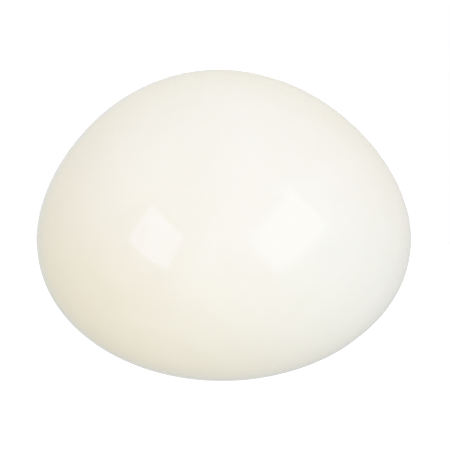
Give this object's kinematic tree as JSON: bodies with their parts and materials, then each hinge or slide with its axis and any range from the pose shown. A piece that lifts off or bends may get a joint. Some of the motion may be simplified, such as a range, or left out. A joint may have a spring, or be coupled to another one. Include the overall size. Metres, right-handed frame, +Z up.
{
  "type": "cue ball",
  "caption": "Glossy ivory-white oval cue ball of cast resin, lying on its flatter side, with a round core of filled resin sealed inside.",
  "frame": {"origin": "middle of the ball's footprint, on the surface that it rests on", "axes": "+Z up towards the narrower crown, +X along the long axis, with the crown leaning slightly towards -X"},
  "size_m": [0.0686, 0.0572, 0.0571],
  "materials": {
    "ivory_resin": "polished",
    "filled_resin": "matte"
  },
  "bodies": {
    "root": {"outer_body": "ivory_resin", "core": "filled_resin"}
  },
  "joints": []
}
